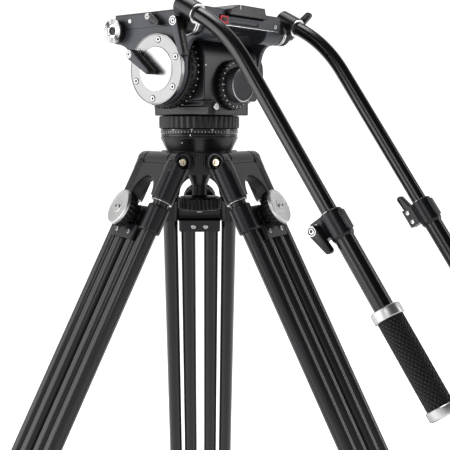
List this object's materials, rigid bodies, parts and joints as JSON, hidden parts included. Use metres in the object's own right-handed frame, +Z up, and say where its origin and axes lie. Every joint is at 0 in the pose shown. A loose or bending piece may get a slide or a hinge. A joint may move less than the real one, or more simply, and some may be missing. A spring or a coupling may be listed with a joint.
{
  "type": "tripod with fluid head",
  "caption": "Floor tripod with folding double-tube legs and a fluid pan and tilt head, sliding camera plate and two bent telescoping pan handles.",
  "frame": {"origin": "centre of the bounding box footprint, on the floor", "axes": "+Z up, +Y towards the rear leg, the pan axis is parallel to Z in the plane X = 0"},
  "size_m": [0.734, 0.7302, 0.8635],
  "materials": {
    "black_casting": "satin black powder coat on cast aluminium",
    "black_plastic": "matt black moulded plastic with fine grain",
    "polished_metal": "polished and lathe-turned aluminium",
    "anodised_tube": "black anodised aluminium, fine satin",
    "carbon_tube": "woven carbon fibre under clear lacquer",
    "rubber": "textured black rubber",
    "red_plastic": "red moulded plastic",
    "white_plastic": "white vial window"
  },
  "bodies": {
    "crown": {"crown": "black_casting"},
    "ball": {"half_ball": "black_casting"},
    "clamp_knob": {"clamp_knob": "black_plastic"},
    "pan_ring": {"pan_drag_ring": "black_plastic"},
    "pan_base": {"head_housing": "black_casting", "bubble_level": "white_plastic"},
    "pan_lever": {"pan_lock_lever": "black_casting"},
    "tilt_ring": {"tilt_drag_ring": "black_plastic"},
    "dial": {"counterbalance_dial": "black_plastic"},
    "cradle": {"cradle": "black_casting", "bright_side_disc": "polished_metal", "far_side_disc": "black_casting", "front_rosette_a": "polished_metal", "front_rosette_b": "polished_metal", "rear_rosette_a": "polished_metal", "rear_rosette_b": "polished_metal"},
    "tilt_lever": {"tilt_lock_lever": "black_casting"},
    "plate_lever": {"plate_lock_lever": "black_casting"},
    "sliding_plate": {"camera_plate": "anodised_tube"},
    "plate_screw": {"camera_screw": "polished_metal"},
    "button": {"safety_button": "red_plastic"},
    "handle_a": {"handle_clamp_a": "black_casting", "upper_handle_a": "anodised_tube"},
    "angle_lever_a": {"angle_lever_a": "black_casting"},
    "extension_a": {"lower_handle_a": "anodised_tube", "grip_a": "rubber"},
    "length_lever_a": {"length_lever_a": "black_casting"},
    "handle_b": {"handle_clamp_b": "black_casting", "upper_handle_b": "anodised_tube"},
    "angle_lever_b": {"angle_lever_b": "black_casting"},
    "extension_b": {"lower_handle_b": "anodised_tube", "grip_b": "rubber"},
    "length_lever_b": {"length_lever_b": "black_casting"},
    "rear_leg": {"rear_leg_shoulder": "black_casting", "rear_outer_tube_a": "carbon_tube", "rear_outer_tube_b": "carbon_tube", "rear_tube_guide": "black_casting"},
    "rear_extension": {"rear_slide_bracket": "black_casting", "rear_inner_tube_a": "carbon_tube", "rear_inner_tube_b": "carbon_tube", "rear_foot": "rubber"},
    "rear_knob": {"rear_lock_knob": "polished_metal"},
    "left_leg": {"left_leg_shoulder": "black_casting", "left_outer_tube_a": "carbon_tube", "left_outer_tube_b": "carbon_tube", "left_tube_guide": "black_casting"},
    "left_extension": {"left_slide_bracket": "black_casting", "left_inner_tube_a": "carbon_tube", "left_inner_tube_b": "carbon_tube", "left_foot": "rubber"},
    "left_knob": {"left_lock_knob": "polished_metal"},
    "right_leg": {"right_leg_shoulder": "black_casting", "right_outer_tube_a": "carbon_tube", "right_outer_tube_b": "carbon_tube", "right_tube_guide": "black_casting"},
    "right_extension": {"right_slide_bracket": "black_casting", "right_inner_tube_a": "carbon_tube", "right_inner_tube_b": "carbon_tube", "right_foot": "rubber"},
    "right_knob": {"right_lock_knob": "polished_metal"}
  },
  "joints": [
    {"name": "bowl_level", "type": "hinge", "parent": "crown", "child": "ball", "pos_m": [0, -0.05539, 0.7], "axis": [0.6561, 0.7547, 0], "range_deg": [-6, 6]},
    {"name": "clamp_knob_turn", "type": "hinge", "parent": "ball", "child": "clamp_knob", "pos_m": [0, -0.05539, 0.64], "axis": [0, 0, 1], "continuous": true},
    {"name": "pan_drag", "type": "hinge", "parent": "ball", "child": "pan_ring", "pos_m": [0, -0.05539, 0.73], "axis": [0, 0, 1], "range_deg": [-150, 150]},
    {"name": "pan", "type": "hinge", "parent": "ball", "child": "pan_base", "pos_m": [0, -0.05539, 0.74], "axis": [0, 0, 1], "continuous": true},
    {"name": "pan_lock", "type": "hinge", "parent": "pan_base", "child": "pan_lever", "pos_m": [-0.02871, -0.01983, 0.75], "axis": [0.7547, -0.6561, 0], "range_deg": [0, 55]},
    {"name": "tilt_drag", "type": "hinge", "parent": "pan_base", "child": "tilt_ring", "pos_m": [-0.03477, -0.09539, 0.7891], "axis": [0.6561, 0.7547, 0], "range_deg": [-150, 150]},
    {"name": "counterbalance", "type": "hinge", "parent": "pan_base", "child": "dial", "pos_m": [0.04151, -0.09147, 0.773], "axis": [0.7547, -0.6561, 0], "range_deg": [-135, 135]},
    {"name": "tilt", "type": "hinge", "parent": "pan_base", "child": "cradle", "pos_m": [0, -0.05539, 0.7891], "axis": [0.6561, 0.7547, 0], "range_deg": [-70, 15]},
    {"name": "tilt_lock", "type": "hinge", "parent": "cradle", "child": "tilt_lever", "pos_m": [-0.07226, -0.09857, 0.8053], "axis": [0.6561, 0.7547, 0], "range_deg": [-15, 35]},
    {"name": "plate_lock", "type": "hinge", "parent": "cradle", "child": "plate_lever", "pos_m": [-0.05262, -0.10372, 0.845], "axis": [0.6561, 0.7547, 0], "range_deg": [-60, 20]},
    {"name": "plate_slide", "type": "slide", "parent": "cradle", "child": "sliding_plate", "axis": [0.7547, -0.6561, 0], "range_m": [-0.03, 0.025]},
    {"name": "screw_turn", "type": "hinge", "parent": "sliding_plate", "child": "plate_screw", "pos_m": [0, -0.05539, 0.85], "axis": [0, 0, 1], "continuous": true},
    {"name": "button_press", "type": "slide", "parent": "cradle", "child": "button", "axis": [-0.7547, 0.6561, 0], "range_m": [0, 0.002], "stiffness_N_per_m": 400, "springref_m": -0.002},
    {"name": "handle_a_angle", "type": "hinge", "parent": "cradle", "child": "handle_a", "pos_m": [-0.01324, -0.14988, 0.834], "axis": [0.6561, 0.7547, 0], "range_deg": [-90, 0]},
    {"name": "angle_lock_a", "type": "hinge", "parent": "handle_a", "child": "angle_lever_a", "pos_m": [-0.02308, -0.1612, 0.834], "axis": [0.6561, 0.7547, 0], "range_deg": [-25, 40]},
    {"name": "handle_a_length", "type": "slide", "parent": "handle_a", "child": "extension_a", "axis": [0.4361, -0.3791, -0.8161], "range_m": [0, 0.14]},
    {"name": "length_lock_a", "type": "hinge", "parent": "extension_a", "child": "length_lever_a", "pos_m": [0.10457, -0.27481, 0.63212], "axis": [0.6561, 0.7547, 0], "range_deg": [0, 95]},
    {"name": "handle_b_angle", "type": "hinge", "parent": "cradle", "child": "handle_b", "pos_m": [0.09173, -0.02913, 0.834], "axis": [0.6561, 0.7547, 0], "range_deg": [-90, 0]},
    {"name": "angle_lock_b", "type": "hinge", "parent": "handle_b", "child": "angle_lever_b", "pos_m": [0.10157, -0.0178, 0.834], "axis": [0.6561, 0.7547, 0], "range_deg": [-40, 40]},
    {"name": "handle_b_length", "type": "slide", "parent": "handle_b", "child": "extension_b", "axis": [0.4361, -0.3791, -0.8161], "range_m": [0, 0.14]},
    {"name": "length_lock_b", "type": "hinge", "parent": "extension_b", "child": "length_lever_b", "pos_m": [0.23184, -0.1284, 0.63212], "axis": [0.6561, 0.7547, 0], "range_deg": [-95, 0]},
    {"name": "rear_leg_fold", "type": "hinge", "parent": "crown", "child": "rear_leg", "pos_m": [0, -0.00939, 0.6893], "axis": [1, 0, 0], "range_deg": [-27, 0]},
    {"name": "rear_leg_length", "type": "slide", "parent": "rear_leg", "child": "rear_extension", "axis": [0, 0.4563, -0.8898], "range_m": [0, 0.43]},
    {"name": "rear_leg_lock", "type": "hinge", "parent": "rear_extension", "child": "rear_knob", "pos_m": [0, 0.03944, 0.63792], "axis": [0, 0.8898, 0.4563], "continuous": true},
    {"name": "left_leg_fold", "type": "hinge", "parent": "crown", "child": "left_leg", "pos_m": [-0.03984, -0.07839, 0.6893], "axis": [-0.5, 0.866, 0], "range_deg": [-27, 0]},
    {"name": "left_leg_length", "type": "slide", "parent": "left_leg", "child": "left_extension", "axis": [-0.3952, -0.2282, -0.8898], "range_m": [0, 0.43]},
    {"name": "left_leg_lock", "type": "hinge", "parent": "left_extension", "child": "left_knob", "pos_m": [-0.08212, -0.1028, 0.63792], "axis": [-0.7706, -0.4449, 0.4563], "continuous": true},
    {"name": "right_leg_fold", "type": "hinge", "parent": "crown", "child": "right_leg", "pos_m": [0.03984, -0.07839, 0.6893], "axis": [-0.5, -0.866, 0], "range_deg": [-27, 0]},
    {"name": "right_leg_length", "type": "slide", "parent": "right_leg", "child": "right_extension", "axis": [0.3952, -0.2282, -0.8898], "range_m": [0, 0.43]},
    {"name": "right_leg_lock", "type": "hinge", "parent": "right_extension", "child": "right_knob", "pos_m": [0.08212, -0.1028, 0.63792], "axis": [0.7706, -0.4449, 0.4563], "continuous": true}
  ]
}
